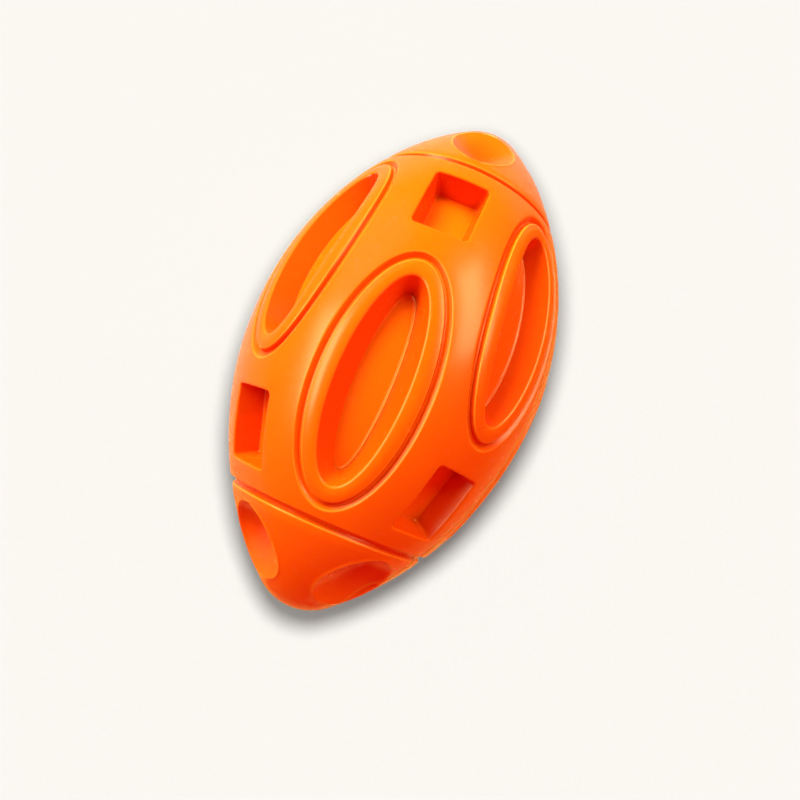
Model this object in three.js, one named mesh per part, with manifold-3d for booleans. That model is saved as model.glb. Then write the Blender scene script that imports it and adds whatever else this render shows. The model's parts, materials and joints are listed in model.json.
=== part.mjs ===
// Hollow rubber chew toy in the shape of a rugby ball, with a plug squeaker in its wall.
// Millimetres. X is the long axis, +Z is up. Eight columns of pockets stand 45 degrees apart.
import * as THREE from 'three';
import { mergeVertices } from 'three/examples/jsm/utils/BufferGeometryUtils.js';
import Module from 'manifold-3d';

const wasm = await Module();
wasm.setup();

// Body
const LENGTH = 140;             // tip to tip
const DIAMETER = 80;            // widest, at the middle
const TIP_RADIUS = 15;          // ball that rounds each tip
const WALL = 9;                 // full wall between the pockets
const COLUMNS = 8;              // pocket columns, turned end for end in turn

// Ring groove between the barrel and each nose
const RING_AT = 45.9;           // from the middle, along X
const RING_WIDTH = 3.2;
const RING_DEPTH = 1.1;

// Oval pockets and the engraved line round each
const OVAL_AT = 13.7;           // centre from the middle, along X
const OVAL_LONG = 49.4;         // at the rim
const OVAL_WIDE = 16.4;
const OVAL_DEPTH = 6;           // floor follows the skin
const OVAL_FLOOR_LONG = 46.2;
const OVAL_FLOOR_WIDE = 10.9;
const LINE_OUT = 4.6;           // engraved line's centre, outside the rim
const LINE_WIDTH = 2.4;
const LINE_DEPTH = 1;

// Square pockets, one at the other end of each column
const SQUARE_AT = 32.2;
const SQUARE_LONG = 18;
const SQUARE_WIDE = 13.7;
const SQUARE_DEPTH = 7;         // flat floor
const SQUARE_FLOOR_LONG = 16.2;
const SQUARE_FLOOR_WIDE = 10.3;
const SQUARE_CORNER = 1.4;

// Scooped dimples on the noses, in line with the square pockets
const DIMPLE_AT = 57;
const DIMPLE_LONG = 20.6;
const DIMPLE_WIDE = 16.6;
const DIMPLE_DEPTH = 2.2;

// Joint between the two half shells, halfway between two columns
const SEAM_TURN = 22.5;         // degrees from level
const BOND_FILM = 0.3;          // cured cement between the halves
const BOND_GAP = 0.05;          // drawn gap on each side of the film

// Squeaker plug: fitted from inside, through the floor of the lowest oval pocket
const PLUG_NECK = 8;            // diameter through the wall
const PLUG_FLANGE = 15;
const FLANGE_THICK = 1.4;
const BARREL_OUTER = 11;
const BARREL_BORE = 7.4;
const BARREL_LENGTH = 8.9;      // inside the flange
const SOUND_HOLE = 3;
const END_WALL = 2;
const PLUG_SET_BACK = 0.3;      // outer face below the pocket floor
const BOSS_HIGH = 2;            // flat pad moulded inside the wall
const BOSS_EDGE = 1;            // pad outside the flange
const CAP_THICK = 1.2;
const SPIGOT_LENGTH = 2.3;
const FIT_GAP = 0.3;            // round the plug, the seat, the wedge and the cap's spigot
const FACE_GAP = 0.15;          // between flat faces that touch

// Reed: a brass strip held between a half-round seat and a half-round wedge
const SEAT_LENGTH = 9.2;
const WEDGE_LENGTH = 3;
const REED_THICK = 0.25;
const REED_WIDE = 4.4;
const REED_FREE = 5.1;          // past the wedge
const REED_GAP = 0.1;           // to the seat and to the wedge
const REED_SPLIT = 0.1;         // drawn gap at the bending line
const CHANNEL_WIDE = 2.8;
const CHANNEL_DEEP = 1.7;

// Shape of the skin: one arc from nose to nose, each tip a ball inside it
const HALF = LENGTH / 2;
const RADIUS = DIAMETER / 2;
const TIP_CENTRE = HALF - TIP_RADIUS;
const ARC = (TIP_CENTRE ** 2 + RADIUS ** 2 - TIP_RADIUS ** 2) / (2 * (RADIUS - TIP_RADIUS));
const ARC_DROP = ARC - RADIUS;
const TIP_START = Math.atan2(TIP_CENTRE, ARC_DROP);
const STEP = (2 * Math.PI) / COLUMNS;

function skinAt(along, depth) {
  // point of the outline, moved inward by depth; along is the arc's angle from the middle
  return { x: (ARC - depth) * Math.sin(along), r: (ARC - depth) * Math.cos(along) - ARC_DROP };
}

function onSkin(column, at, t, b, depth) {
  // t runs along the column to +X, b across it, depth inward from the skin
  const along = Math.asin(at / ARC) + Math.asin(t / ARC);
  const out = skinAt(along, 0);
  const turn = column * STEP + Math.asin(Math.max(-0.98, Math.min(0.98, b / out.r)));
  const inner = skinAt(along, depth);
  return new THREE.Vector3(inner.x, -inner.r * Math.sin(turn), inner.r * Math.cos(turn));
}

function localFrame(column, at) {
  // flat frame on the skin: X along the column, Z outward
  const along = Math.asin(at / ARC);
  const turn = column * STEP;
  const radial = new THREE.Vector3(0, -Math.sin(turn), Math.cos(turn));
  const long = new THREE.Vector3(1, 0, 0);
  const out = radial.clone().multiplyScalar(Math.cos(along)).addScaledVector(long, Math.sin(along));
  const tangent = long.clone().multiplyScalar(Math.cos(along)).addScaledVector(radial, -Math.sin(along));
  const side = out.clone().cross(tangent);
  const frame = new THREE.Matrix4().makeBasis(tangent, side, out);
  return frame.setPosition(onSkin(column, at, 0, 0, 0));
}

// Solids
function toSolid(geometry) {
  const bare = geometry.clone();
  bare.deleteAttribute('normal');
  bare.deleteAttribute('uv');
  const merged = mergeVertices(bare, 1e-4);
  const points = Float32Array.from(merged.getAttribute('position').array);
  const index = merged.getIndex().array;
  const kept = [];
  let volume = 0;
  const corner = (i) => new THREE.Vector3(points[3 * i], points[3 * i + 1], points[3 * i + 2]);
  for (let i = 0; i < index.length; i += 3) {
    const [a, b, c] = [index[i], index[i + 1], index[i + 2]];
    if (a === b || b === c || c === a) continue;
    kept.push(a, b, c);
    volume += corner(a).dot(corner(b).cross(corner(c)));
  }
  const turned = volume < 0;
  const faces = new Uint32Array(kept.length);
  for (let i = 0; i < kept.length; i += 3) {
    faces[i] = kept[i];
    faces[i + 1] = turned ? kept[i + 2] : kept[i + 1];
    faces[i + 2] = turned ? kept[i + 1] : kept[i + 2];
  }
  return new wasm.Manifold(new wasm.Mesh({ numProp: 3, vertProperties: points, triVerts: faces }));
}

function toMesh(solid, name, material) {
  const mesh = solid.simplify(0.01).getMesh();
  const geometry = new THREE.BufferGeometry();
  geometry.setAttribute('position', new THREE.BufferAttribute(Float32Array.from(mesh.vertProperties), 3));
  geometry.setIndex(new THREE.BufferAttribute(Uint32Array.from(mesh.triVerts), 1));
  geometry.computeVertexNormals();
  const node = new THREE.Mesh(geometry, material);
  node.name = name;
  return node;
}

function meshFrom(loops, closedAcross) {
  // skins a list of equal loops; the first and last close on their own middles, or on each other
  const points = [];
  const index = [];
  const count = loops[0].length;
  for (const loop of loops) for (const p of loop) points.push(p.x, p.y, p.z);
  const last = closedAcross ? loops.length : loops.length - 1;
  for (let i = 0; i < last; i++) {
    const next = (i + 1) % loops.length;
    for (let j = 0; j < count; j++) {
      const k = (j + 1) % count;
      index.push(i * count + j, next * count + j, next * count + k);
      index.push(i * count + j, next * count + k, i * count + k);
    }
  }
  if (!closedAcross) {
    for (const [i, flip] of [[0, false], [loops.length - 1, true]]) {
      const middle = loops[i].reduce((s, p) => s.add(p), new THREE.Vector3()).divideScalar(count);
      const m = points.length / 3;
      points.push(middle.x, middle.y, middle.z);
      for (let j = 0; j < count; j++) {
        const k = (j + 1) % count;
        if (flip) index.push(m, i * count + k, i * count + j);
        else index.push(m, i * count + j, i * count + k);
      }
    }
  }
  const geometry = new THREE.BufferGeometry();
  geometry.setAttribute('position', new THREE.Float32BufferAttribute(points, 3));
  geometry.setIndex(index);
  return geometry;
}

function turned(profile, segments, phase) {
  // body of revolution about X from (radius, along) points
  const geometry = new THREE.LatheGeometry(profile.map(([r, x]) => new THREE.Vector2(r, x)), segments, phase);
  return geometry.rotateZ(-Math.PI / 2);
}

function turnedUp(profile, segments) {
  // body of revolution about Z, closed on itself
  const closed = [...profile, profile[0]];
  const geometry = new THREE.LatheGeometry(closed.map(([r, z]) => new THREE.Vector2(r, z)), segments);
  return geometry.rotateX(Math.PI / 2);
}

function block(width, deep, high, x, y, z) {
  return new THREE.BoxGeometry(width, deep, high).translate(x, y, z);
}

// Outline from tip to tip, with the ring grooves cut in when depth is zero
function outline(depth, arcSteps, tipSteps) {
  const half = [];
  const places = [];
  for (let i = 0; i <= arcSteps; i++) places.push({ along: (TIP_START * i) / arcSteps, cut: 0 });
  if (depth === 0) {
    const ring = (off, cut) => ({ along: Math.asin((RING_AT + off * RING_WIDTH) / ARC), cut: cut * RING_DEPTH });
    const dips = [ring(-0.5, 0), ring(-0.2, 1), ring(0.2, 1), ring(0.5, 0)];
    const from = dips[0].along - 0.03;
    const to = dips[3].along + 0.03;
    const rest = places.filter((p) => p.along < from || p.along > to);
    places.length = 0;
    places.push(...rest, ...dips);
    places.sort((p, q) => p.along - q.along);
  }
  for (const p of places) {
    const s = skinAt(p.along, depth + p.cut);
    half.push([s.r, s.x]);
  }
  for (let i = 1; i <= tipSteps; i++) {
    const a = TIP_START + ((Math.PI / 2 - TIP_START) * i) / tipSteps;
    const r = i === tipSteps ? 0 : (TIP_RADIUS - depth) * Math.cos(a);
    half.push([r, TIP_CENTRE + (TIP_RADIUS - depth) * Math.sin(a)]);
  }
  const other = half.slice(1).map(([r, x]) => [r, -x]).reverse();
  return [...other, ...half];
}

// Pockets
function ellipse(column, at, long, wide, depth, count) {
  const loop = [];
  for (let i = 0; i < count; i++) {
    const a = (2 * Math.PI * (i + 0.5)) / count;
    loop.push(onSkin(column, at, (long / 2) * Math.cos(a), (wide / 2) * Math.sin(a), depth));
  }
  return loop;
}

function ovalCutter(column, at) {
  const loops = [];
  for (const f of [0.5, 1]) {
    loops.push(ellipse(column, at, OVAL_FLOOR_LONG * f, OVAL_FLOOR_WIDE * f, OVAL_DEPTH, 24));
  }
  const over = 1.5 / OVAL_DEPTH;
  const long = OVAL_LONG + (OVAL_LONG - OVAL_FLOOR_LONG) * over;
  const wide = OVAL_WIDE + (OVAL_WIDE - OVAL_FLOOR_WIDE) * over;
  for (const f of [1, 0.5]) loops.push(ellipse(column, at, long * f, wide * f, -1.5, 24));
  return toSolid(meshFrom(loops, false));
}

function lineCutter(column, at) {
  const loops = [];
  for (const [off, depth] of [[-0.62, -0.5], [-0.25, LINE_DEPTH], [0.25, LINE_DEPTH], [0.62, -0.5]]) {
    const grow = 2 * (LINE_OUT + off * LINE_WIDTH);
    loops.push(ellipse(column, at, OVAL_LONG + grow, OVAL_WIDE + grow, depth, 28));
  }
  return toSolid(meshFrom(loops, true));
}

function dimpleCutter(column, at) {
  const loops = [];
  for (const [f, depth] of [[0.4, 0.9], [0.75, 0.5], [1, 0], [1.1, -0.3]]) {
    loops.push(ellipse(column, at, DIMPLE_LONG * f, DIMPLE_WIDE * f, depth * DIMPLE_DEPTH, 16));
  }
  loops.push(ellipse(column, at, DIMPLE_LONG, DIMPLE_WIDE, -1.6 * DIMPLE_DEPTH, 16));
  return toSolid(meshFrom(loops, false));
}

function roundedRectangle(long, wide, corner, height) {
  const loop = [];
  for (const [sx, sy, from] of [[1, 1, 0], [-1, 1, 1], [-1, -1, 2], [1, -1, 3]]) {
    for (const part of [0, 0.5, 1]) {
      const a = ((from + part) * Math.PI) / 2;
      const x = sx * (long / 2 - corner) + corner * Math.cos(a);
      const y = sy * (wide / 2 - corner) + corner * Math.sin(a);
      loop.push(new THREE.Vector3(x, y, height));
    }
  }
  return loop;
}

function squareCutter(column, at) {
  const over = 3 / SQUARE_DEPTH;
  const long = SQUARE_LONG + (SQUARE_LONG - SQUARE_FLOOR_LONG) * over;
  const wide = SQUARE_WIDE + (SQUARE_WIDE - SQUARE_FLOOR_WIDE) * over;
  const loops = [
    roundedRectangle(SQUARE_FLOOR_LONG, SQUARE_FLOOR_WIDE, SQUARE_CORNER, -SQUARE_DEPTH),
    roundedRectangle(long, wide, SQUARE_CORNER, 3),
  ];
  return toSolid(meshFrom(loops, false).applyMatrix4(localFrame(column, at)));
}

// Whole wall of the toy, before it is parted into halves
let body = toSolid(turned(outline(0, 11, 3), 40, Math.PI / 40));
body = body.subtract(toSolid(turned(outline(WALL, 7, 2), 24, Math.PI / 24)));
for (let column = 0; column < COLUMNS; column++) {
  const end = column % 2 === 0 ? 1 : -1;
  body = body.subtract(ovalCutter(column, -end * OVAL_AT));
  body = body.subtract(lineCutter(column, -end * OVAL_AT));
  body = body.subtract(squareCutter(column, end * SQUARE_AT));
  body = body.subtract(dimpleCutter(column, end * DIMPLE_AT));
}

// Squeaker frame: Z outward, zero at the floor of the lowest oval pocket
const LOWEST = COLUMNS / 2;
const plugFrame = localFrame(LOWEST, -OVAL_AT);
plugFrame.multiply(new THREE.Matrix4().makeTranslation(0, 0, -OVAL_DEPTH));
const place = (geometry) => toSolid(geometry.applyMatrix4(plugFrame));
const FLOOR_WALL = WALL - OVAL_DEPTH;
const SEAT_FACE = -(FLOOR_WALL + BOSS_HIGH);
const FLANGE_FACE = SEAT_FACE - FACE_GAP;
const FLANGE_BACK = FLANGE_FACE - FLANGE_THICK;
const BARREL_END = FLANGE_BACK - BARREL_LENGTH;
const BORE_END = -PLUG_SET_BACK - END_WALL;

function rod(radius, from, to, segments) {
  const high = Math.abs(to - from);
  return new THREE.CylinderGeometry(radius, radius, high, segments).rotateX(Math.PI / 2).translate(0, 0, (from + to) / 2);
}

const boss = place(rod(PLUG_FLANGE / 2 + BOSS_EDGE, SEAT_FACE, -FLOOR_WALL / 2, 32));
const hole = place(rod(PLUG_NECK / 2 + FIT_GAP, SEAT_FACE - 1, 2, 32));
body = body.add(boss).subtract(hole);

// Halves and the film of cement between them
const SIZE = 2 * LENGTH;
const level = (geometry) => toSolid(geometry.rotateX((-SEAM_TURN * Math.PI) / 180));
const cut = BOND_FILM / 2 + BOND_GAP;
const upper = body.intersect(level(block(SIZE, SIZE, SIZE, 0, 0, SIZE / 2 + cut)));
const lower = body.intersect(level(block(SIZE, SIZE, SIZE, 0, 0, -SIZE / 2 - cut)));
const film = body.intersect(level(block(SIZE, SIZE, BOND_FILM, 0, 0, 0)));

// Squeaker housing: neck through the wall, flange on the pad, barrel inside
const housing = place(turnedUp([
  [SOUND_HOLE / 2, -PLUG_SET_BACK],
  [PLUG_NECK / 2, -PLUG_SET_BACK],
  [PLUG_NECK / 2, FLANGE_FACE],
  [PLUG_FLANGE / 2, FLANGE_FACE],
  [PLUG_FLANGE / 2, FLANGE_BACK],
  [BARREL_OUTER / 2, FLANGE_BACK],
  [BARREL_OUTER / 2, BARREL_END],
  [BARREL_BORE / 2, BARREL_END],
  [BARREL_BORE / 2, BORE_END],
  [SOUND_HOLE / 2, BORE_END],
], 28));

// Cap: closes the barrel, with the hole that lets the air in
const CAP_FACE = BARREL_END - FACE_GAP;
const INSERT_RADIUS = BARREL_BORE / 2 - FIT_GAP;
const cap = place(turnedUp([
  [SOUND_HOLE / 2, CAP_FACE + SPIGOT_LENGTH],
  [INSERT_RADIUS, CAP_FACE + SPIGOT_LENGTH],
  [INSERT_RADIUS, CAP_FACE],
  [BARREL_OUTER / 2, CAP_FACE],
  [BARREL_OUTER / 2, CAP_FACE - CAP_THICK],
  [SOUND_HOLE / 2, CAP_FACE - CAP_THICK],
], 28));

// Reed seat, reed and wedge, end to end against the spigot
const SEAT_BACK = CAP_FACE + SPIGOT_LENGTH + FIT_GAP;
const SEAT_FRONT = SEAT_BACK + SEAT_LENGTH;
const CLAMP = SEAT_BACK + WEDGE_LENGTH;
const BEND = CLAMP + 0.2;
const seatFace = -REED_GAP;
const wedgeFace = REED_THICK + REED_GAP;
const WIDE = 2 * BARREL_BORE;
const seatRod = toSolid(rod(INSERT_RADIUS, SEAT_BACK, SEAT_FRONT, 28));
const seatHalf = toSolid(block(WIDE, WIDE, 4 * SEAT_LENGTH, seatFace - WIDE / 2, 0, SEAT_BACK));
const channelMiddle = (BEND + 0.4 + SEAT_FRONT + 1) / 2;
const channelLong = SEAT_FRONT + 1 - (BEND + 0.4);
const channel = toSolid(block(2 * CHANNEL_DEEP, CHANNEL_WIDE, channelLong, seatFace, 0, channelMiddle));
const steps = plugFrame.elements;
const seat = seatRod.intersect(seatHalf).subtract(channel).transform(steps);
const wedgeRod = toSolid(rod(INSERT_RADIUS, SEAT_BACK, CLAMP, 28));
const wedgeHalf = toSolid(block(WIDE, WIDE, 4 * SEAT_LENGTH, wedgeFace + WIDE / 2, 0, SEAT_BACK));
const wedge = wedgeRod.intersect(wedgeHalf).transform(steps);

function strip(from, to) {
  return place(block(REED_THICK, REED_WIDE, to - from, REED_THICK / 2, 0, (from + to) / 2));
}
const tail = strip(SEAT_BACK + 0.2, BEND - REED_SPLIT / 2);
const tongue = strip(BEND + REED_SPLIT / 2, BEND + REED_FREE);

// Materials
const rubber = new THREE.MeshStandardMaterial({ color: 0xff6a0d, roughness: 0.4 });
const cement = new THREE.MeshStandardMaterial({ color: 0xd9480f, roughness: 0.5 });
const white = new THREE.MeshStandardMaterial({ color: 0xece9e0, roughness: 0.5 });
const grey = new THREE.MeshStandardMaterial({ color: 0x4a4d50, roughness: 0.6 });
const brass = new THREE.MeshStandardMaterial({ color: 0xc9a24a, roughness: 0.3, metalness: 1 });

const toy = new THREE.Group();
toy.name = 'squeaky_chew_toy';
toy.add(toMesh(upper, 'upper_half_shell', rubber));
toy.add(toMesh(lower, 'lower_half_shell', rubber));
toy.add(toMesh(film, 'seam_bond', cement));
toy.add(toMesh(housing, 'squeaker_housing', white));
toy.add(toMesh(cap, 'squeaker_cap', white));
toy.add(toMesh(seat, 'reed_seat', grey));
toy.add(toMesh(wedge, 'reed_wedge', grey));
toy.add(toMesh(tail, 'reed_tail', brass));
toy.add(toMesh(tongue, 'reed_tongue', brass));

export default toy;
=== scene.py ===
# Squeaky rubber ball, dressed for its picture: the solids are loaded as the frame, and the pieces
# follow section by section.
import json
import math

import bmesh
import bpy
import numpy as np
from mathutils import Matrix, Vector

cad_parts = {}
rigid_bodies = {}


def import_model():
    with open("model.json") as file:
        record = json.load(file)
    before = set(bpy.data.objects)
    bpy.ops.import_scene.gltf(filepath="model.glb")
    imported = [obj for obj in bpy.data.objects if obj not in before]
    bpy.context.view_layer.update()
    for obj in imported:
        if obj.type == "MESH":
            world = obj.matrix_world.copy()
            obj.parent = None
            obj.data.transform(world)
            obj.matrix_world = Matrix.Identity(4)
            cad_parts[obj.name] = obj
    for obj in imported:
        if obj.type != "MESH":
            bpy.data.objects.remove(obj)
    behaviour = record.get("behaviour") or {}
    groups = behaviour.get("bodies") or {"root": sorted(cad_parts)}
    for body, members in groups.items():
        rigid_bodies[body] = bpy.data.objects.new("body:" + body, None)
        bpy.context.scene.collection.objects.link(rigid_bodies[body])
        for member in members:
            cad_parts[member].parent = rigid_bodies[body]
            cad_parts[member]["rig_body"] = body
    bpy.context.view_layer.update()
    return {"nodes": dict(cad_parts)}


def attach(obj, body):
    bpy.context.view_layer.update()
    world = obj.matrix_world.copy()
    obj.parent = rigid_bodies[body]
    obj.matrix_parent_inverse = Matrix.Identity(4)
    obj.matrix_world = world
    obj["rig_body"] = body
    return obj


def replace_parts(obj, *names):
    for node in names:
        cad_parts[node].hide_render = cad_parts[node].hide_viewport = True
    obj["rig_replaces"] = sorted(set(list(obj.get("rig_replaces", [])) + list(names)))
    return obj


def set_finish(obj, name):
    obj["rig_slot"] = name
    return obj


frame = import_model()


# Upper half shell
# Half of the hollow ball, press-moulded in bright orange natural rubber with all its pockets and
# grooves in the mould, and later cemented to the other half along the seam.
MM = 0.001
BARREL_CURVE = 88.0
CURVE_TO_AXIS = 48.0
TIP_BALL = 15.0
TIP_CENTRE = 55.0
TIP_TURN = math.atan2(TIP_CENTRE, CURVE_TO_AXIS)
TIP_FROM = BARREL_CURVE * math.sin(TIP_TURN)
WALL = 9.0
COLUMN = math.radians(45.0)
HALF_COLUMNS = (-2.5, 1.5)

CELL_END = 44.3
CELL_STEPS = 46
CELL_SPLIT = 20
LONG_STEP = math.asin(CELL_END / BARREL_CURVE) / CELL_STEPS
ROUND_STEPS = 32
EASE_LIMIT = 0.48
START_RADIUS = 0.01
MERGE_GAP = 2e-6
LAND_SHARES = (0.6, 0.8, 1.0)


def pick(*pieces):
    """Leaves edit mode and selects these pieces alone, the first of them active."""
    if bpy.context.object and bpy.context.object.mode != "OBJECT":
        bpy.ops.object.mode_set(mode="OBJECT")
    bpy.ops.object.select_all(action="DESELECT")
    for piece in pieces:
        piece.select_set(True)
    if pieces:
        bpy.context.view_layer.objects.active = pieces[0]


def merge_points(gap):
    """Merges the double points of the active piece."""
    bpy.ops.object.mode_set(mode="EDIT")
    bpy.ops.mesh.select_all(action="SELECT")
    bpy.ops.mesh.remove_doubles(threshold=gap)
    bpy.ops.object.mode_set(mode="OBJECT")


def turn_faces_out():
    """Turns all faces of the active piece outwards."""
    bpy.ops.object.mode_set(mode="EDIT")
    bpy.ops.mesh.select_all(action="SELECT")
    bpy.ops.mesh.normals_make_consistent(inside=False)
    bpy.ops.object.mode_set(mode="OBJECT")


def barrel(along, around, depth=0.0):
    """Places on the barrel in metres, from turns along and around it and a depth under the skin in mm."""
    reach = BARREL_CURVE - depth
    radius = reach * np.cos(along) - CURVE_TO_AXIS
    places = [reach * np.sin(along), -radius * np.sin(around), radius * np.cos(around)]
    return np.stack(np.broadcast_arrays(*places), -1) * MM


def tip_ring(ball, along, around):
    """A ring of places on a round tip of this radius in mm."""
    radius = ball * math.cos(along)
    x = np.full_like(around, TIP_CENTRE + ball * math.sin(along))
    return np.stack([x, -radius * np.sin(around), radius * np.cos(around)], -1) * MM


def wrap(at, long, wide):
    """Turns along and around for a flat outline of long and wide offsets, laid on the barrel."""
    along = math.asin(at / BARREL_CURVE) + np.arcsin(long / BARREL_CURVE)
    radius = BARREL_CURVE * np.cos(along) - CURVE_TO_AXIS
    return along, np.arcsin(wide / radius)


def cell_border(first, last):
    """The turns of one cell's edge: up one side, across its far end, down the other side and back."""
    steps = last - first
    side = np.linspace(first, last, steps + 1)[:-1] * LONG_STEP
    back = np.linspace(last, first, steps + 1)[:-1] * LONG_STEP
    end = np.linspace(1, -1, ROUND_STEPS + 1)[:-1] * COLUMN / 2
    half = np.full(steps, COLUMN / 2)
    full = np.ones(ROUND_STEPS) * LONG_STEP
    along = np.concatenate([side, full * last, back, full * first])
    around = np.concatenate([half, end, -half, -end])
    return along, around


def ease(corners, reaches, steps):
    """Rings of places along a section, each corner ring eased over its reach in mm to either side."""
    rings = [corners[0]]
    for before, corner, after, reach in zip(corners, corners[1:], corners[2:], reaches):
        arms = []
        for other in (before, after):
            arm = other - corner
            length = np.maximum(np.linalg.norm(arm, axis=1, keepdims=True), 1e-9)
            arms.append(corner + arm * np.minimum(reach * MM / length, EASE_LIMIT))
        for t in np.linspace(0, 1, steps + 1):
            rings.append((1 - t) ** 2 * arms[0] + 2 * t * (1 - t) * corner + t**2 * arms[1])
    rings.append(corners[-1])
    return rings


def begin_ring(name, count, kept=None):
    """A circle of numbered points in edit mode, or the first so many of them as an open chain."""
    pick()
    bpy.ops.mesh.primitive_circle_add(vertices=count, radius=START_RADIUS)
    ring = bpy.context.object
    ring.name = name
    bpy.ops.object.mode_set(mode="EDIT")
    net = bmesh.from_edit_mesh(ring.data)
    number = net.verts.layers.int.new("number")
    net.verts.ensure_lookup_table()
    for index, point in enumerate(net.verts):
        point[number] = index
        point.select_set(kept is not None and index >= kept)
    net.select_flush(True)
    bmesh.update_edit_mesh(ring.data)
    if kept is not None:
        bpy.ops.mesh.delete(type="VERT")
    bpy.ops.mesh.select_all(action="SELECT")
    return ring


def put(ring, places):
    """Moves the selected points to the places that their numbers name."""
    net = bmesh.from_edit_mesh(ring.data)
    number = net.verts.layers.int["number"]
    for point in net.verts:
        if point.select:
            point.co = places[point[number]]
    bmesh.update_edit_mesh(ring.data)


def grow(name, count, rings, kept=None):
    """Extrudes a loop of points ring by ring along a section."""
    ring = begin_ring(name, count, kept)
    put(ring, rings[0])
    for places in rings[1:]:
        bpy.ops.mesh.extrude_edges_indiv()
        put(ring, places)
    bpy.ops.object.mode_set(mode="OBJECT")
    return ring


def select_open_edges():
    """Selects the open edge loops of the piece in edit mode and nothing else."""
    bpy.ops.mesh.select_mode(type="EDGE")
    bpy.ops.mesh.select_all(action="DESELECT")
    bpy.ops.mesh.select_non_manifold(
        use_wire=False,
        use_boundary=True,
        use_multi_face=False,
        use_non_contiguous=False,
        use_verts=False,
    )


def land(inner, border, shares=LAND_SHARES):
    """Rings on the bare skin between an outline's turns and the cell's border."""
    rings = []
    for share in shares:
        along = inner[0] * (1 - share) + border[0] * share
        around = inner[1] * (1 - share) + border[1] * share
        rings.append(barrel(along, around))
    return rings


# The long oval pocket of a column: floor with its bead, drafted wall, rolled rim, crowned band and
# the engraved line round it, out to the edge of the cell.
OVAL_AT = -13.7
OVAL_RIM = (24.7, 8.2)
OVAL_FLOOR = (23.1, 5.45)
OVAL_DEPTH = 6.0
BEAD_HIGH = 0.4
BEAD_SHIFT = 0.5
LINE_OUT = 4.6
LINE_HALF = 1.0
LINE_DEPTH = 1.2
LINE_LIP = (OVAL_RIM[0] + LINE_OUT + LINE_HALF, OVAL_RIM[1] + LINE_OUT + LINE_HALF)
OVAL_LAND = 0.35
OVAL_EASE_STEPS = 4

border = cell_border(-CELL_STEPS, CELL_SPLIT)
border_long = BARREL_CURVE * np.sin(border[0] - math.asin(OVAL_AT / BARREL_CURVE))
border_wide = (BARREL_CURVE * np.cos(border[0]) - CURVE_TO_AXIS) * np.sin(border[1])
bearing = np.arctan2(border_wide / LINE_LIP[1], border_long / LINE_LIP[0])


def oval_turns(halves, out):
    """The turns of an oval with these half sizes, drawn out by an offset in mm."""
    return wrap(OVAL_AT, (halves[0] + out) * np.cos(bearing), (halves[1] + out) * np.sin(bearing))


def oval(halves, out, depth):
    """One ring of the oval at a depth under the skin."""
    return barrel(*oval_turns(halves, out), depth)


# Each row of the section is a ring's half sizes, its offset, its depth and the easing of its corner.
bead = BEAD_HIGH * np.clip(BEAD_SHIFT + np.sin(bearing), 0.0, 1.0)
section = [
    (OVAL_FLOOR, -2.6, OVAL_DEPTH, 0.0),
    (OVAL_FLOOR, -1.15, OVAL_DEPTH, 0.2),
    (OVAL_FLOOR, -0.65, OVAL_DEPTH - bead, 0.22),
    (OVAL_FLOOR, -0.2, OVAL_DEPTH - 0.1, 0.2),
    (OVAL_RIM, 0.0, 0.25, 0.6),
    (OVAL_RIM, 1.8, -0.08, 0.9),
    (LINE_LIP, -2 * LINE_HALF, 0.06, 0.25),
    (LINE_LIP, -1.5 * LINE_HALF, LINE_DEPTH, 0.2),
    (LINE_LIP, -0.9 * LINE_HALF, LINE_DEPTH, 0.2),
    (LINE_LIP, 0.0, 0.0, 0.35),
]
lip_turns = oval_turns(LINE_LIP, 0.0)
corners = [oval(*row[:3]) for row in section] + land(lip_turns, border, [OVAL_LAND])
rings = [oval(OVAL_FLOOR, -OVAL_FLOOR[1], OVAL_DEPTH)]
rings += ease(corners, [row[3] for row in section[1:]], OVAL_EASE_STEPS)
rings += land(lip_turns, border)
oval_cell = grow("oval_cell", len(bearing), rings)

# The square pocket of the same column: a flat floor, drafted walls and a rolled rim.
SQUARE_AT = 32.2
SQUARE_RIM = (9.0, 6.85)
SQUARE_FLOOR = (8.1, 5.15)
SQUARE_DEPTH = 7.0
RIM_CORNER = 1.1
RIM_EASE = 0.6
FLOOR_CORNER = 0.7
FLOOR_EASE = 0.35
FLOOR_FLAT = 2.5
CORNER_STEPS = 4
SQUARE_LAND = 0.4
SQUARE_EASE_STEPS = 5

border = cell_border(CELL_SPLIT, CELL_STEPS)


def rounded_square(half_long, half_wide, corner):
    """The flat outline of a square pocket, point for point with its cell's border."""
    outline = []
    sides = [(half_long, half_wide, CELL_STEPS - CELL_SPLIT), (half_wide, half_long, ROUND_STEPS)]
    for quarter in range(4):
        run, off, steps = sides[quarter % 2]
        tail = []
        for t in np.linspace(0, math.pi / 4, CORNER_STEPS + 1):
            tail.append((run - corner + corner * math.sin(t), off - corner + corner * math.cos(t)))
        lead = [(-p, q) for p, q in tail[::-1]]
        straight = np.linspace(-run + corner, run - corner, steps - 2 * CORNER_STEPS + 1)[1:-1]
        points = lead + [(p, off) for p in straight] + tail[:-1]
        for _ in range(quarter):
            points = [(q, -p) for p, q in points]
        outline += points
    return np.array(outline).T


middle = math.asin(SQUARE_AT / BARREL_CURVE)
floor_middle = barrel(middle, 0.0, SQUARE_DEPTH)
floor_long = np.array([math.cos(middle), 0.0, -math.sin(middle)]) * MM
floor_wide = np.array([0.0, -1.0, 0.0]) * MM


def square_floor(inset):
    """One ring of the flat floor, drawn in from its edge by an inset in mm."""
    long, wide = rounded_square(*SQUARE_FLOOR, FLOOR_CORNER)
    long = np.clip(long, inset - SQUARE_FLOOR[0], SQUARE_FLOOR[0] - inset)
    wide = np.clip(wide, inset - SQUARE_FLOOR[1], SQUARE_FLOOR[1] - inset)
    return floor_middle + long[:, None] * floor_long + wide[:, None] * floor_wide


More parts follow.
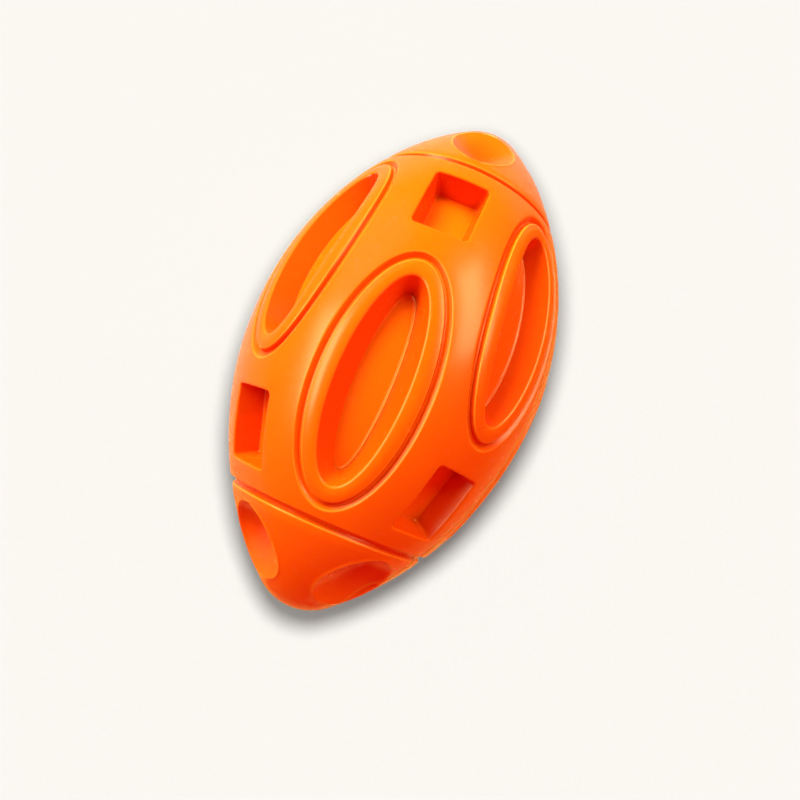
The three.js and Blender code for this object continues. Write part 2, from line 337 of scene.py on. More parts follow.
rim_turns = wrap(SQUARE_AT, *rounded_square(*SQUARE_RIM, RIM_CORNER))
corners = [square_floor(FLOOR_FLAT), square_floor(0.0), barrel(*rim_turns)]
corners += land(rim_turns, border, [SQUARE_LAND])
rings = [square_floor(SQUARE_FLOOR[1])]
rings += ease(corners, [FLOOR_EASE, RIM_EASE], SQUARE_EASE_STEPS)
rings += land(rim_turns, border)
square_cell = grow("square_cell", len(border[0]), rings)
# The square pockets are marked for a weaker painted edge highlight.
highlight_cut = square_cell.data.attributes.new("highlight_cut", "FLOAT", "POINT")
highlight_cut.data.foreach_set("value", np.ones(len(square_cell.data.vertices), np.float32))
pick(oval_cell, square_cell)
bpy.ops.object.join()

# Four columns make one half, each turned end for end against its neighbour.
half_parts = []
for turn, flip in ((-2, 1), (-1, -1), (0, 1), (1, -1)):
    pick(oval_cell)
    bpy.ops.object.duplicate()
    column = bpy.context.object
    column.rotation_euler = (turn * COLUMN, 0, 0)
    column.scale = (flip, 1, 1)
    bpy.ops.object.transform_apply(location=False, rotation=True, scale=True)
    half_parts.append(column)
bpy.data.objects.remove(oval_cell)

# The two noses: a narrow ring groove, four scooped dimples with a low lip, and a round tip. The
# points are drawn together along the dimples' rims, which keeps those edges crisp.
RING_SECTION = ((44.9, 0.0), (45.5, 1.05), (46.4, 1.15), (46.9, 0.2), (48.4, 0.0))
NOSE_FROM = 49.0
RING_STOPS = np.concatenate([np.linspace(CELL_END, 47.0, 22), np.linspace(47.4, NOSE_FROM, 5)])
NOSE_GAP = 0.002
NOSE_LAST_TURN = math.radians(48.0)
DIMPLE_TURN = math.asin(57.0 / BARREL_CURVE)
DIMPLE_HALF = (10.3, 8.3)
DIMPLE_DEPTH = 4.0
DIMPLE_SKEW = 0.5
DIMPLE_RINGS = 49
RIM_SOFT = 0.02
RIM_SOFTER_TO_TIP = 0.06
LIP_HIGH = 0.16
LIP_OUT = 0.03
LIP_HALF = 0.08
PULL_FROM = -1.15
PULL_OVER = 0.3
PULL_POWER = 1.5
LEAST_RIM = 0.06
TIP_RINGS = 30


def off_dimple(around, end):
    """Turns around one nose, counted from the nearest dimple's middle."""
    first = 0.0 if end > 0 else COLUMN
    return (around - first + COLUMN) % (2 * COLUMN) - COLUMN


def along_dimple(along):
    """The place along a dimple, from -1 at its end by the ring groove to 1 at its end by the tip."""
    return BARREL_CURVE * np.sin(along - DIMPLE_TURN) / DIMPLE_HALF[0]


def dimpled(along, around, end):
    """Depth of the dimples at turns along and around one nose."""
    long = along_dimple(along)
    wide = (BARREL_CURVE * np.cos(along) - CURVE_TO_AXIS) * np.sin(off_dimple(around, end))
    spare = 1 - long**2 - (wide / DIMPLE_HALF[1]) ** 2
    soft = RIM_SOFT + RIM_SOFTER_TO_TIP * np.clip(long, 0.0, 1.0) ** 2
    skewed = DIMPLE_DEPTH * (1 - DIMPLE_SKEW * long)
    lip = LIP_HIGH * np.exp(-(((spare + LIP_OUT) / LIP_HALF) ** 2))
    return skewed * (np.sqrt(spare**2 + soft**2) + spare) / 2 - lip


def drawn_to_rims(along, around, end):
    """The turns around one nose, shifted so that points gather at the dimples' rims."""
    long = along_dimple(along)
    radius = BARREL_CURVE * math.cos(along) - CURVE_TO_AXIS
    rim = math.asin(DIMPLE_HALF[1] * math.sqrt(max(1 - long**2, LEAST_RIM)) / radius)
    off = off_dimple(around, end)
    share = 2 * np.abs(off) / COLUMN - 1
    pulled = rim + np.where(share < 0, -rim, COLUMN - rim) * np.abs(share) ** PULL_POWER
    blend = min(max((long - PULL_FROM) / PULL_OVER, 0.0), 1.0)
    off_seam = np.clip((2 * COLUMN - np.abs(around + COLUMN / 2)) / (COLUMN / 2), 0.0, 1.0)
    return around + (np.copysign(pulled, off) - off) * blend * off_seam


half_turns = np.linspace(*HALF_COLUMNS, 4 * ROUND_STEPS + 1) * COLUMN
groove_turns = np.arcsin(RING_STOPS / BARREL_CURVE)
bowl_sweep = np.linspace(0, 1, DIMPLE_RINGS) * math.pi
bowl_turns = DIMPLE_TURN + np.arcsin(-DIMPLE_HALF[0] * np.cos(bowl_sweep) / BARREL_CURVE)
bowl_turns = bowl_turns[bowl_turns > groove_turns[-1] + NOSE_GAP]
tip_turns = np.linspace(TIP_TURN, math.pi / 2, TIP_RINGS)
for end in (1, -1):
    rings = []
    for along in (*groove_turns, *bowl_turns, NOSE_LAST_TURN):
        around = drawn_to_rims(along, half_turns, end)
        groove = np.interp(BARREL_CURVE * math.sin(along), *zip(*RING_SECTION))
        depth = groove + dimpled(along, around, end)
        rings.append(barrel(np.full_like(around, along), around, depth))
    for along in tip_turns:
        rings.append(tip_ring(TIP_BALL, along, half_turns))
    rings = [ring * np.array([end, 1, 1]) for ring in rings]
    half_parts.append(grow("nose", 8 * ROUND_STEPS, rings, len(half_turns)))

upper = half_parts[0]
pick(*half_parts)
bpy.ops.object.join()
merge_points(MERGE_GAP)

# The seam edge stands a little back from the parting plane and is eased, and the flat cement face
# runs from there to the inner wall. Each step of the edge is a height over the plane and a depth.
SEAM_EDGE = 0.32
SEAM_FACE = 0.2
SEAM_BLEND = 3.0
SEAM_STEPS = ((0.26, 0.05), (0.215, 0.13), (SEAM_FACE, 0.24), (SEAM_FACE, 1.2))
seam_up = Vector((0.0, math.sin(COLUMN / 2), math.cos(COLUMN / 2)))


def skin_normal(place):
    """The way out of the bare skin at a place in mm, grooves and pockets left aside."""
    x, y, z = place
    radius = max(math.hypot(y, z), 1e-6)
    centre = TIP_CENTRE * math.copysign(1, x) if abs(x) > TIP_FROM else 0.0
    drop = 0.0 if centre else CURVE_TO_AXIS
    way = Vector((x - centre, y * (1 + drop / radius), z * (1 + drop / radius)))
    return way.normalized()


def skin_depth(place):
    """How deep a place in mm lies under the bare skin."""
    x, y, z = place
    radius = math.hypot(y, z)
    if abs(x) > TIP_FROM:
        return TIP_BALL - math.hypot(abs(x) - TIP_CENTRE, radius)
    return BARREL_CURVE - math.hypot(x, radius + CURVE_TO_AXIS)


def stand_back(piece, gap):
    """Lifts the points near the parting plane, by the whole gap in mm on the plane itself."""
    for point in piece.data.vertices:
        height = point.co.dot(seam_up) / MM
        if height < SEAM_BLEND:
            point.co += seam_up * (gap * (1 - height / SEAM_BLEND) * MM)


stand_back(upper, SEAM_EDGE)
pick(upper)
bpy.ops.object.mode_set(mode="EDIT")
select_open_edges()
seam_loop = []
for height, depth in SEAM_STEPS:
    bpy.ops.mesh.extrude_edges_indiv()
    net = bmesh.from_edit_mesh(upper.data)
    moved = [v for v in net.verts if v.select]
    if not seam_loop:
        seam_loop = [v.co.copy() for v in moved]
        seam_ways = [skin_normal(v / MM) for v in seam_loop]
    for point, start, way in zip(moved, seam_loop, seam_ways):
        point.co = start - way * (depth * MM) + seam_up * (height * MM - start.dot(seam_up))
    bmesh.update_edit_mesh(upper.data)
bpy.ops.object.mode_set(mode="OBJECT")

# The inner wall of the air chamber, bridged to the cement face.
INNER_ROUND = 64
INNER_LONG = 72
SHELL_SMOOTH = math.radians(50)
inner_turns = np.linspace(*HALF_COLUMNS, INNER_ROUND + 1) * COLUMN
rings = []
for along in np.linspace(-1, 1, INNER_LONG + 1) * TIP_TURN:
    rings.append(barrel(np.full_like(inner_turns, along), inner_turns, WALL))
inner_tip = [tip_ring(TIP_BALL - WALL, along, inner_turns) for along in tip_turns[2::3]]
rings = [ring * np.array([-1, 1, 1]) for ring in inner_tip[::-1]] + rings + inner_tip
inner = grow("inner_wall", 2 * INNER_ROUND, rings, len(inner_turns))
pick(inner)
merge_points(MERGE_GAP)
stand_back(inner, SEAM_FACE)
pick(upper, inner)
bpy.ops.object.join()
bpy.ops.object.mode_set(mode="EDIT")
select_open_edges()
bpy.ops.mesh.bridge_edge_loops()
turn_faces_out()
bpy.ops.object.shade_smooth_by_angle(angle=SHELL_SMOOTH)
upper.name = "upper_shell"
upper.data.name = "upper_shell"

# The rubber, with a faint mottle and a fine grain. Painted shade makes it redder where it leans away
# from the skin and in the dimples, a painted highlight makes its sharpest edges paler, and painted
# shade darkens the tight corners of the pockets.
LEAN_DEPTH = 0.8
SCOOP_LEAN = 0.45
NOSE_HIGHLIGHT_GAIN = 1.2
SQUARE_HIGHLIGHT_CUT = 0.65
ORANGE = (0.97, 0.172, 0.001, 1)
WARM_ORANGE = (0.99, 0.20, 0.0012, 1)
SHADE_RED_ORANGE = (0.86, 0.105, 0.0006, 1)
HIGHLIGHT_ORANGE = (1.0, 0.46, 0.03, 1)
CORNER_SHADE_RED = (0.22, 0.008, 0.0002, 1)
CORNER_REACH = 0.006


def mark_relief(piece):
    """Notes on each point how far it leans from the bare skin and how sharply the rubber turns out: the
    masks of the painted shade and the painted edge highlight.
    """
    net = bmesh.new()
    net.from_mesh(piece.data)
    net.normal_update()
    highlight_cut = net.verts.layers.float["highlight_cut"]
    leans = []
    bends = []
    for point in net.verts:
        place = point.co / MM
        on_nose = abs(place.x) > NOSE_FROM
        depth = skin_depth(place)
        lean = 1 - abs(point.normal.dot(skin_normal(place)))
        # The dimples get painted shade in step with their depth.
        scooped = depth / DIMPLE_DEPTH if on_nose else 0.0
        leans.append(max(lean, SCOOP_LEAN * scooped) * min(max(depth, 0.0) / LEAN_DEPTH, 1.0))
        bend = 0.0
        for edge in point.link_edges:
            arm = edge.other_vert(point).co - point.co
            bend -= arm.dot(point.normal) / max(arm.length_squared, 1e-12)
        # The painted edge highlight is stronger on the noses and weaker round the square pockets.
        edge_highlight = NOSE_HIGHLIGHT_GAIN if on_nose else 1 - SQUARE_HIGHLIGHT_CUT * point[highlight_cut]
        bends.append(bend / max(len(point.link_edges), 1) * MM * edge_highlight)
    evened = []
    for bend, point in zip(bends, net.verts):
        around = [bends[edge.other_vert(point).index] for edge in point.link_edges]
        evened.append((bend * 2 + sum(around)) / (2 + len(around)))
    net.free()
    for name, values in (("wall_lean", leans), ("turn_out", evened)):
        layer = piece.data.attributes.new(name, "FLOAT", "POINT")
        layer.data.foreach_set("value", np.array(values, np.float32))


def makers(tree):
    """Makers for the nodes and the links of a finish or of the studio's air."""

    def node(kind, **settings):
        made = tree.nodes.new(kind)
        for key, value in settings.items():
            if key in made.inputs:
                made.inputs[key].default_value = value
            else:
                setattr(made, key, value)
        return made

    return node, tree.links.new


def new_finish(name):
    """An empty finish: its shader, and makers for its nodes and links."""
    finish = bpy.data.materials.new(name)
    finish.use_nodes = True
    node, link = makers(finish.node_tree)
    return finish, finish.node_tree.nodes["Principled BSDF"], node, link


def feed(link, socket, value):
    """Gives a socket a plain value or links another socket to it."""
    if isinstance(value, bpy.types.NodeSocket):
        link(value, socket)
    else:
        socket.default_value = value


def blend_colours(node, link, share, below, above):
    """A colour mix: its share and its two colours are sockets or plain values."""
    mix = node("ShaderNodeMix", data_type="RGBA")
    for index, value in ((0, share), (6, below), (7, above)):
        feed(link, mix.inputs[index], value)
    return mix.outputs[2]


def remapped(node, link, value, span, target, **settings):
    """A value carried over from one span to another."""
    change = node("ShaderNodeMapRange", **settings)
    for name, number in zip(("From Min", "From Max", "To Min", "To Max"), (*span, *target)):
        change.inputs[name].default_value = number
    link(value, change.inputs["Value"])
    return change.outputs["Result"]


def noise(node, link, place, **settings):
    """A noise pattern on the piece's own coordinates."""
    texture = node("ShaderNodeTexNoise", **settings)
    link(place, texture.inputs["Vector"])
    return texture.outputs["Fac"]


def roughen(node, link, shader, height, strength, distance):
    """A bumpy skin from a pattern of heights."""
    bump = node("ShaderNodeBump", Strength=strength, Distance=distance)
    link(height, bump.inputs["Height"])
    link(bump.outputs["Normal"], shader.inputs["Normal"])


rubber, shader, node, link = new_finish("orange_rubber")
place = node("ShaderNodeTexCoord").outputs["Object"]
cloud = noise(node, link, place, Scale=38.0, Detail=3.0, Roughness=0.55)
speckle = noise(node, link, place, Scale=420.0, Detail=4.0, Roughness=0.6)
grain = noise(node, link, place, Scale=2600.0, Detail=2.0, Roughness=0.5)
wall_lean = node("ShaderNodeAttribute", attribute_name="wall_lean").outputs["Fac"]
turn_out = node("ShaderNodeAttribute", attribute_name="turn_out").outputs["Fac"]
shelter = node("ShaderNodeAmbientOcclusion", samples=8, Distance=CORNER_REACH).outputs["AO"]
# Painted shade: redder on walls that lean away from the skin and deeper in the dimples.
recess_shade = remapped(node, link, wall_lean, (0.03, 0.45), (0.0, 1.0))
# Painted highlight: paler on the sharpest convex edges.
edge_highlight_share = remapped(node, link, turn_out, (0.15, 0.5), (0.0, 0.6))
# Painted shade: darkest in the tight corners, where ambient occlusion is low.
corner_shade_share = remapped(node, link, shelter, (0.1, 0.6), (1.0, 0.0))
mottled = blend_colours(node, link, cloud, ORANGE, WARM_ORANGE)
recess_shaded = blend_colours(node, link, recess_shade, mottled, SHADE_RED_ORANGE)
edge_highlight = blend_colours(node, link, edge_highlight_share, recess_shaded, HIGHLIGHT_ORANGE)
shaded = blend_colours(node, link, corner_shade_share, edge_highlight, CORNER_SHADE_RED)
link(shaded, shader.inputs["Base Color"])
link(remapped(node, link, speckle, (0.3, 0.7), (0.25, 0.28)), shader.inputs["Roughness"])
shader.inputs["Specular IOR Level"].default_value = 0.16
shader.inputs["Subsurface Weight"].default_value = 0.15
shader.inputs["Subsurface Radius"].default_value = (1.0, 0.18, 0.04)
shader.inputs["Subsurface Scale"].default_value = 0.003
roughen(node, link, shader, grain, 0.008, 0.00005)

mark_relief(upper)
upper.data.materials.clear()
upper.data.materials.append(rubber)
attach(upper, "toy")
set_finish(upper, "rubber")
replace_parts(upper, "upper_half_shell")


# Lower half shell
# The other half of the ball from the same mould, turned half round. One pocket floor is thickened
# on the inside and bored for the squeaker's neck.
PAD_ROOT = 3.0
PAD_FOOT = 9.6
PAD_FACE = 8.5
PAD_FROM = -2.4
PAD_TO = -5.0
HOLE = 4.3
HOLE_FROM = 2.0
HOLE_TO = -7.0
SINK = 5.2
NEAR_AXIS = 0.001
SPUN_STEPS = 72
SPUN_EASE_STEPS = 4
SPUN_MERGE_GAP = 1e-6
SPUN_SMOOTH = math.radians(40)

pick(upper)
bpy.ops.object.duplicate()
lower = bpy.context.object
lower.name = "lower_shell"
lower.data.name = "lower_shell"
lower.parent = None
lower.rotation_euler = (math.pi, 0, 0)
bpy.ops.object.transform_apply(location=False, rotation=True, scale=False)
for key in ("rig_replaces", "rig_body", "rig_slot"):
    if key in lower:
        del lower[key]

tilt = math.asin(OVAL_AT / BARREL_CURVE)
squeaker_place = Matrix.Identity(4)
squeaker_place.col[0] = (math.cos(tilt), 0, math.sin(tilt), 0)
squeaker_place.col[1] = (0, -1, 0, 0)
squeaker_place.col[2] = (math.sin(tilt), 0, -math.cos(tilt), 0)
squeaker_place.col[3] = (*barrel(tilt, math.pi, OVAL_DEPTH), 1)


def spun(name, outline):
    """A turned solid at the squeaker's place, from rows of a radius, a height and an easing in mm."""
    turns = np.linspace(0, 2 * math.pi, SPUN_STEPS, endpoint=False)
    corners = []
    for radius, height, _ in outline + outline[:1]:
        ring = [radius * np.cos(turns), radius * np.sin(turns), np.full(SPUN_STEPS, height)]
        corners.append(np.stack(ring, -1) * MM)
    rings = ease(corners, [row[2] for row in outline[1:]], SPUN_EASE_STEPS)
    solid = grow(name, SPUN_STEPS, rings)
    merge_points(SPUN_MERGE_GAP)
    turn_faces_out()
    solid.data.transform(squeaker_place)
    bpy.ops.object.shade_smooth_by_angle(angle=SPUN_SMOOTH)
    return solid


def carve(piece, tool, operation):
    """Applies one solid to another and removes the tool."""
    pick(piece)
    cut = piece.modifiers.new("carve", "BOOLEAN")
    cut.operation = operation
    cut.solver = "EXACT"
    cut.object = tool
    bpy.ops.object.modifier_apply(modifier=cut.name)
    bpy.data.objects.remove(tool)


pad = spun(
    "pad",
    [
        (PAD_ROOT, PAD_FROM, 0),
        (PAD_FOOT, PAD_FROM, 0.5),
        (PAD_FACE, PAD_TO, 0.6),
        (PAD_ROOT, PAD_TO, 0),
    ],
)
carve(lower, pad, "UNION")
hole = spun(
    "hole",
    [
        (NEAR_AXIS, HOLE_FROM, 0),
        (SINK, HOLE_FROM, 0),
        (SINK, 0.42, 0),
        (HOLE, -0.35, 0.5),
        (HOLE, HOLE_TO, 0),
        (NEAR_AXIS, HOLE_TO, 0),
    ],
)
carve(lower, hole, "DIFFERENCE")
pick(lower)
bpy.ops.object.shade_smooth_by_angle(angle=SHELL_SMOOTH)
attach(lower, "toy")
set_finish(lower, "rubber")
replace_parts(lower, "lower_half_shell")


# Seam bond
# A thin film of rubber cement, brushed on the two flat faces, that holds the halves together and
# shows as a fine darker line just under the seam's eased edges.
FILM_BACK = 0.26
FILM_THICK = 0.3
NEAR_TIP = 1e-6
DARK_CEMENT = (0.30, 0.035, 0.003, 1)
PALE_CEMENT = (0.52, 0.075, 0.008, 1)
across = Vector((0, -math.cos(COLUMN / 2), math.sin(COLUMN / 2)))
right_side = []
left_side = []
tips = []
for start, way in zip(seam_loop, seam_ways):
    flat = start - seam_up * start.dot(seam_up)
    offset = flat.dot(across)
    side = tips if abs(offset) <= NEAR_TIP else right_side if offset > 0 else left_side
    side.append((flat, way))
right_side.sort(key=lambda pair: pair[0].x)
left_side.sort(key=lambda pair: -pair[0].x)
tips.sort(key=lambda pair: pair[0].x)
ordered = tips[:1] + right_side + tips[-1:] + left_side
film_out = []
film_in = []
for start, way in ordered:
    film_out.append(start - way * (FILM_BACK * MM))
    film_in.append(start - way * ((WALL - skin_depth(start / MM)) * MM))
bond = grow("cement_film", len(ordered), [np.array(film_out), np.array(film_in)])
film = bond.modifiers.new("film", "SOLIDIFY")
film.thickness = FILM_THICK * MM
film.offset = 0.0
bpy.ops.object.modifier_apply(modifier=film.name)
turn_faces_out()

cement, shader, node, link = new_finish("rubber_cement")
place = node("ShaderNodeTexCoord").outputs["Object"]
smears = noise(node, link, place, Scale=160.0, Detail=4.0, Roughness=0.6)
link(blend_colours(node, link, smears, DARK_CEMENT, PALE_CEMENT), shader.inputs["Base Color"])
shader.inputs["Roughness"].default_value = 0.5
roughen(node, link, shader, smears, 0.3, 0.0001)
bond.data.materials.append(cement)
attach(bond, "toy")
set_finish(bond, "cement")
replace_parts(bond, "seam_bond")


# Squeaker housing
# The plug-in squeaker's body, injection-moulded in white plastic: a neck that fills the bored hole,
# a flange behind the pad and an open barrel for the reed.
NECK = 4.0
FLANGE = 7.5
FLANGE_FROM = -5.15
FLANGE_TO = -6.55
BARREL_OUT = 5.5
BARREL_BORE = 3.7
BORE_FROM = -2.3
BARREL_END = -15.45
SOUND_HOLE = 1.5
PALE_WHITE = (0.82, 0.80, 0.74, 1)
DEEP_WHITE = (0.72, 0.70, 0.64, 1)
SHINE_CHANGE = 0.06


def moulded_plastic(name, pale, deep, roughness):
    """Moulded plastic with faint flow clouds and a fine spark-eroded grain."""
    plastic, shader, node, link = new_finish(name)
    place = node("ShaderNodeTexCoord").outputs["Object"]
    flow = noise(node, link, place, Scale=240.0, Detail=3.0, Roughness=0.5)
    spark = noise(node, link, place, Scale=5200.0, Detail=2.0, Roughness=0.5)
    link(blend_colours(node, link, flow, deep, pale), shader.inputs["Base Color"])
    target = (roughness - SHINE_CHANGE, roughness + SHINE_CHANGE)
    link(remapped(node, link, spark, (0.0, 1.0), target), shader.inputs["Roughness"])
    roughen(node, link, shader, spark, 0.15, 0.00003)
    return plastic


white_plastic = moulded_plastic("white_plastic", PALE_WHITE, DEEP_WHITE, 0.38)
housing = spun(
    "housing",
    [
        (BARREL_BORE, -9.0, 0),
        (BARREL_BORE, BORE_FROM, 0.3),
        (SOUND_HOLE, BORE_FROM, 0.15),
        (SOUND_HOLE, -0.75, 0.15),
        (2.1, -0.38, 0.3),
        (NECK, -0.3, 0.45),
        (NECK, FLANGE_FROM, 0.25),
        (FLANGE, FLANGE_FROM, 0.3),
        (FLANGE, FLANGE_TO, 0.3),
        (BARREL_OUT, FLANGE_TO, 0.3),
        (BARREL_OUT, BARREL_END, 0.3),
        (BARREL_BORE, BARREL_END, 0.2),
    ],
)
housing.data.materials.append(white_plastic)
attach(housing, "toy")
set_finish(housing, "white_plastic")
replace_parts(housing, "squeaker_housing")


# Squeaker cap
# The lid pressed into the barrel's open end, white as the housing, with the air hole that the
# squeeze feeds.
AIR_HOLE = 1.5
CAP_PLUG = 3.4
CAP_FROM = -13.3
CAP_SEAT = -15.6
CAP_TO = -16.8
cap = spun(
    "cap",
    [
        (AIR_HOLE, -14.5, 0),
        (AIR_HOLE, CAP_FROM, 0.15),
        (CAP_PLUG, CAP_FROM, 0.25),
        (CAP_PLUG, CAP_SEAT, 0.1),
        (BARREL_OUT, CAP_SEAT, 0.25),
        (BARREL_OUT, CAP_TO, 0.35),
        (AIR_HOLE, CAP_TO, 0.25),
    ],
)
cap.data.materials.append(white_plastic)
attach(cap, "toy")
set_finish(cap, "white_plastic")
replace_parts(cap, "squeaker_cap")


# Reed seat, wedge and reed
# The half-round seat of grey moulded plastic with its air channel, the wedge of the same plastic
# that pins the reed on it, and the thin reed of rolled brass. The frame's own solids are kept.
PALE_GREY = (0.085, 0.088, 0.092, 1)
DEEP_GREY = (0.06, 0.062, 0.066, 1)
DARK_BRASS = (0.50, 0.31, 0.07, 1)
PALE_BRASS = (0.66, 0.45, 0.14, 1)
ROLLING = (300.0, 9000.0, 9000.0)
grey_plastic = moulded_plastic("grey_plastic", PALE_GREY, DEEP_GREY, 0.5)

brass, shader, node, link = new_finish("rolled_brass")
rolling = node("ShaderNodeMapping", Scale=ROLLING)
link(node("ShaderNodeTexCoord").outputs["Object"], rolling.inputs["Vector"])
marks = noise(node, link, rolling.outputs["Vector"], Scale=1.0, Detail=3.0, Roughness=0.6)
link(blend_colours(node, link, marks, DARK_BRASS, PALE_BRASS), shader.inputs["Base Color"])
shader.inputs["Metallic"].default_value = 1.0
link(remapped(node, link, marks, (0.0, 1.0), (0.18, 0.34)), shader.inputs["Roughness"])

reed_finishes = {
    "reed_seat": grey_plastic,
    "reed_wedge": grey_plastic,
    "reed_tail": brass,
    "reed_tongue": brass,
}
for name, finish in reed_finishes.items():
    solid = frame["nodes"][name]
    solid.data.materials.clear()
    solid.data.materials.append(finish)


# Studio
# A cream paper floor whose shadow is drawn by a small lamp that lights the floor alone, a pale
# surround and a red fill. A broad key light and two weaker side lights shape the rubber, and two
# long soft boxes draw the pale streaks on it.
FLOOR_AT = -0.0394
FLOOR_SIZE = 6.0
CREAM = (0.965, 0.938, 0.888, 1)
FAR_PAPER = (0.9161, 0.9208, 0.8796, 1)
UNDER_LAMP = (0.135, 0.15, 0.15, 1)
DEEP_PAPER = (0.07, 0.46, 0.45, 1)
PALE_PAPER = (0.09, 0.48, 0.47, 1)
QUIET_PAPER = (0.145, 0.099, 0.049, 1)
SHEEN_PAPER = (0.093, 0.494, 0.118, 1)
BRIGHT_SIDE = (0.55, 0.83, 0.0)
SHADOW_LAMP = Vector((-0.019, -0.0078, 0.1506))
TOUCH_LONG = 0.034
TOUCH_WIDE = 0.018


def reckon(node, link, kind, operation, *values, result="Value"):
    """The result of one step of sums on sockets or plain values."""
    step = node(kind, operation=operation)
    for socket, value in zip(step.inputs, values):
        feed(link, socket, value)
    return step.outputs[result]


def mixed(node, link, share, first, second):
    """A shader that is the first one where the share is 0 and the second one where it is 1."""
    mix = node("ShaderNodeMixShader")
    for socket, value in zip(mix.inputs, (share, first, second)):
        link(value, socket)
    return mix.outputs[0]


pick()
bpy.ops.mesh.primitive_plane_add(size=FLOOR_SIZE, location=(0, 0, FLOOR_AT))
floor = bpy.context.object
floor.name = "floor"
paper, shader, node, link = new_finish("cream_paper")
place = node("ShaderNodeTexCoord").outputs["Object"]
fibres = noise(node, link, place, Scale=900.0, Detail=3.0)
link(blend_colours(node, link, fibres, DEEP_PAPER, PALE_PAPER), shader.inputs["Base Color"])
shader.inputs["Roughness"].default_value = 1.0
shader.inputs["Specular IOR Level"].default_value = 0.0

# The paper's own glow makes up for the shadow lamp's falling off, so that the bare floor is an even
# cream, and a painted shade darkens it in a patch under the toy.
over_floor = SHADOW_LAMP - Vector((0, 0, FLOOR_AT))
touch_scale = (1 / TOUCH_LONG, 1 / TOUCH_WIDE, 0.0)
reach = reckon(node, link, "ShaderNodeVectorMath", "DISTANCE", place, over_floor)
slant = reckon(node, link, "ShaderNodeMath", "DIVIDE", SHADOW_LAMP.z - FLOOR_AT, reach)
fall_off = reckon(node, link, "ShaderNodeMath", "POWER", slant, 3.0)
under_toy = reckon(node, link, "ShaderNodeVectorMath", "MULTIPLY", place, touch_scale, result="Vector")
off_touch = reckon(node, link, "ShaderNodeVectorMath", "LENGTH", under_toy)
eased = {"interpolation_type": "SMOOTHSTEP"}
touch_shade = remapped(node, link, off_touch, (0.3, 1.6), (0.25, 1.0), **eased)
glow = node("ShaderNodeEmission")
link(blend_colours(node, link, fall_off, FAR_PAPER, UNDER_LAMP), glow.inputs["Color"])
link(touch_shade, glow.inputs["Strength"])
lit_paper = node("ShaderNodeAddShader")
link(shader.outputs[0], lit_paper.inputs[0])
link(glow.outputs[0], lit_paper.inputs[1])

# Gloss on the toy sees a paper of another colour on the side away from the key light, and the rest
# of the toy's light sees a dark paper that throws little back.
quiet_paper = node("ShaderNodeBsdfDiffuse", Color=QUIET_PAPER)
sheen_paper = node("ShaderNodeBsdfDiffuse", Color=SHEEN_PAPER)
sees = node("ShaderNodeLightPath").outputs
bright_side = reckon(node, link, "ShaderNodeVectorMath", "DOT_PRODUCT", place, BRIGHT_SIDE)
sheen_share = remapped(node, link, bright_side, (0.0, 0.06), (0.0, 0.8))
mirrored = mixed(node, link, sheen_share, sheen_paper.outputs[0], lit_paper.outputs[0])
straight_rays = (sees["Is Camera Ray"], sees["Is Transmission Ray"])
either = reckon(node, link, "ShaderNodeMath", "MAXIMUM", *straight_rays)
seen = mixed(node, link, either, quiet_paper.outputs[0], lit_paper.outputs[0])
shown = mixed(node, link, sees["Is Glossy Ray"], seen, mirrored)
link(shown, paper.node_tree.nodes["Material Output"].inputs["Surface"])
floor.data.materials.append(paper)

# The air: the camera sees a cream surround, gloss sees a little of it, and the toy gets a red fill
# that is strongest at the horizon.
RED_FILL = (1.0, 0.06, 0.03, 1)
GLOSS_SHARE = 0.05
studio = bpy.data.worlds.new("studio")
bpy.context.scene.world = studio
studio.use_nodes = True
studio.node_tree.nodes.clear()
node, link = makers(studio.node_tree)
direction = node("ShaderNodeSeparateXYZ")
link(node("ShaderNodeTexCoord").outputs["Generated"], direction.inputs[0])
fill = node("ShaderNodeBackground", Color=RED_FILL)
fade = remapped(node, link, direction.outputs["Z"], (0.0, 0.9), (1.78, 0.185))
link(fade, fill.inputs["Strength"])
surround = node("ShaderNodeBackground", Color=CREAM, Strength=1.0)
sees = node("ShaderNodeLightPath").outputs
dimmed = reckon(node, link, "ShaderNodeMath", "MULTIPLY", sees["Is Glossy Ray"], GLOSS_SHARE)
either = reckon(node, link, "ShaderNodeMath", "MAXIMUM", sees["Is Camera Ray"], dimmed)
any_of = reckon(node, link, "ShaderNodeMath", "MAXIMUM", either, sees["Is Transmission Ray"])
air = mixed(node, link, any_of, fill.outputs[0], surround.outputs[0])
link(air, node("ShaderNodeOutputWorld").inputs["Surface"])


def lamp(name, kind, bearing, height, power, **settings):
    """A lamp a metre away that looks at the toy from a bearing and a height in degrees."""
    light = bpy.data.lights.new(name, kind)
    light.energy = power
    for key, value in settings.items():
        setattr(light, key, value)
    holder = bpy.data.objects.new(name, light)
    bpy.context.scene.collection.objects.link(holder)
    bearing = math.radians(bearing)
    height = math.radians(height)
    level = math.cos(height)
    way = Vector((level * math.cos(bearing), level * math.sin(bearing), math.sin(height)))
    holder.location = way
    holder.rotation_euler = way.to_track_quat("Z", "Y").to_euler()
    return holder


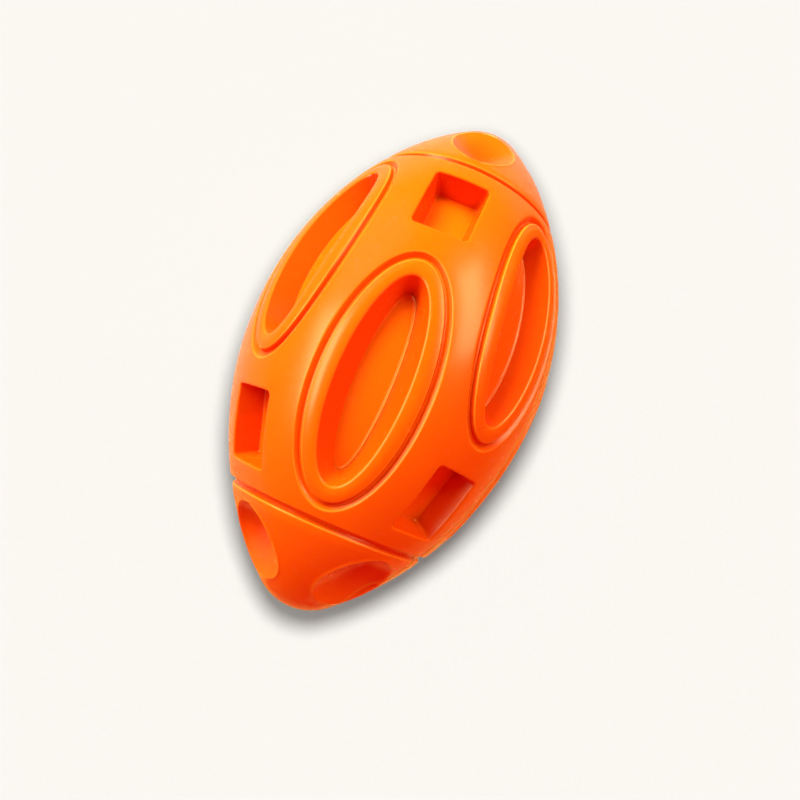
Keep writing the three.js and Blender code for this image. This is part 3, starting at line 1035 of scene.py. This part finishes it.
key = lamp("key", "SUN", 45, 30, 4.6, angle=math.radians(36), color=(1.0, 0.97, 0.92))
left_light = lamp("left_light", "SUN", 67, 43, 1.15, angle=math.radians(30))
right_light = lamp("right_light", "SUN", -31, 42, 1.3, angle=math.radians(30))
for name, holder in (("key_leaves", key), ("left_leaves", left_light), ("right_leaves", right_light)):
    holder.visible_glossy = False
    left_out = bpy.data.collections.new(name)
    left_out.objects.link(floor)
    left_out.collection_objects[0].light_linking.link_state = "EXCLUDE"
    holder.light_linking.receiver_collection = left_out

warm_box = {"shape": "RECTANGLE", "size": 0.62, "color": (1.0, 0.95, 0.45)}
left_box = lamp("left_box", "AREA", 100, 43, 18.0, size_y=0.32, **warm_box)
right_box = lamp("right_box", "AREA", -49, 42, 13.0, size_y=0.28, **warm_box)
for holder in (left_box, right_box):
    holder.visible_diffuse = False

small_red = {"shadow_soft_size": 0.012, "color": (1.0, 0.168, 0.1624)}
shadow_lamp = lamp("shadow_lamp", "POINT", 0, 0, 13.915, **small_red)
shadow_lamp.location = SHADOW_LAMP
shadow_lamp.visible_camera = False
shadow_lamp.visible_glossy = False
floor_only = bpy.data.collections.new("floor_only")
floor_only.objects.link(floor)
shadow_lamp.light_linking.receiver_collection = floor_only


# Camera
# Placed where the photograph was taken from: close above the toy, its long axis running up and to
# the right.
CAMERA_AT = (-0.03349, -0.01401, 0.16842)
CAMERA_RIGHT = (0.39419, -0.919, 0.00741)
CAMERA_UP = (0.90826, 0.39079, 0.1495)
CAMERA_BACK = (-0.14028, -0.0522, 0.98873)
view = bpy.data.cameras.new("camera")
view.sensor_width = 36.0
view.lens = 28.25
view.clip_start = 0.01
camera = bpy.data.objects.new("camera", view)
bpy.context.scene.collection.objects.link(camera)
camera_turn = Matrix((CAMERA_RIGHT, CAMERA_UP, CAMERA_BACK)).transposed()
camera.matrix_world = Matrix.Translation(CAMERA_AT) @ camera_turn.to_4x4()
bpy.context.scene.camera = camera
bpy.context.scene.view_settings.view_transform = "Standard"
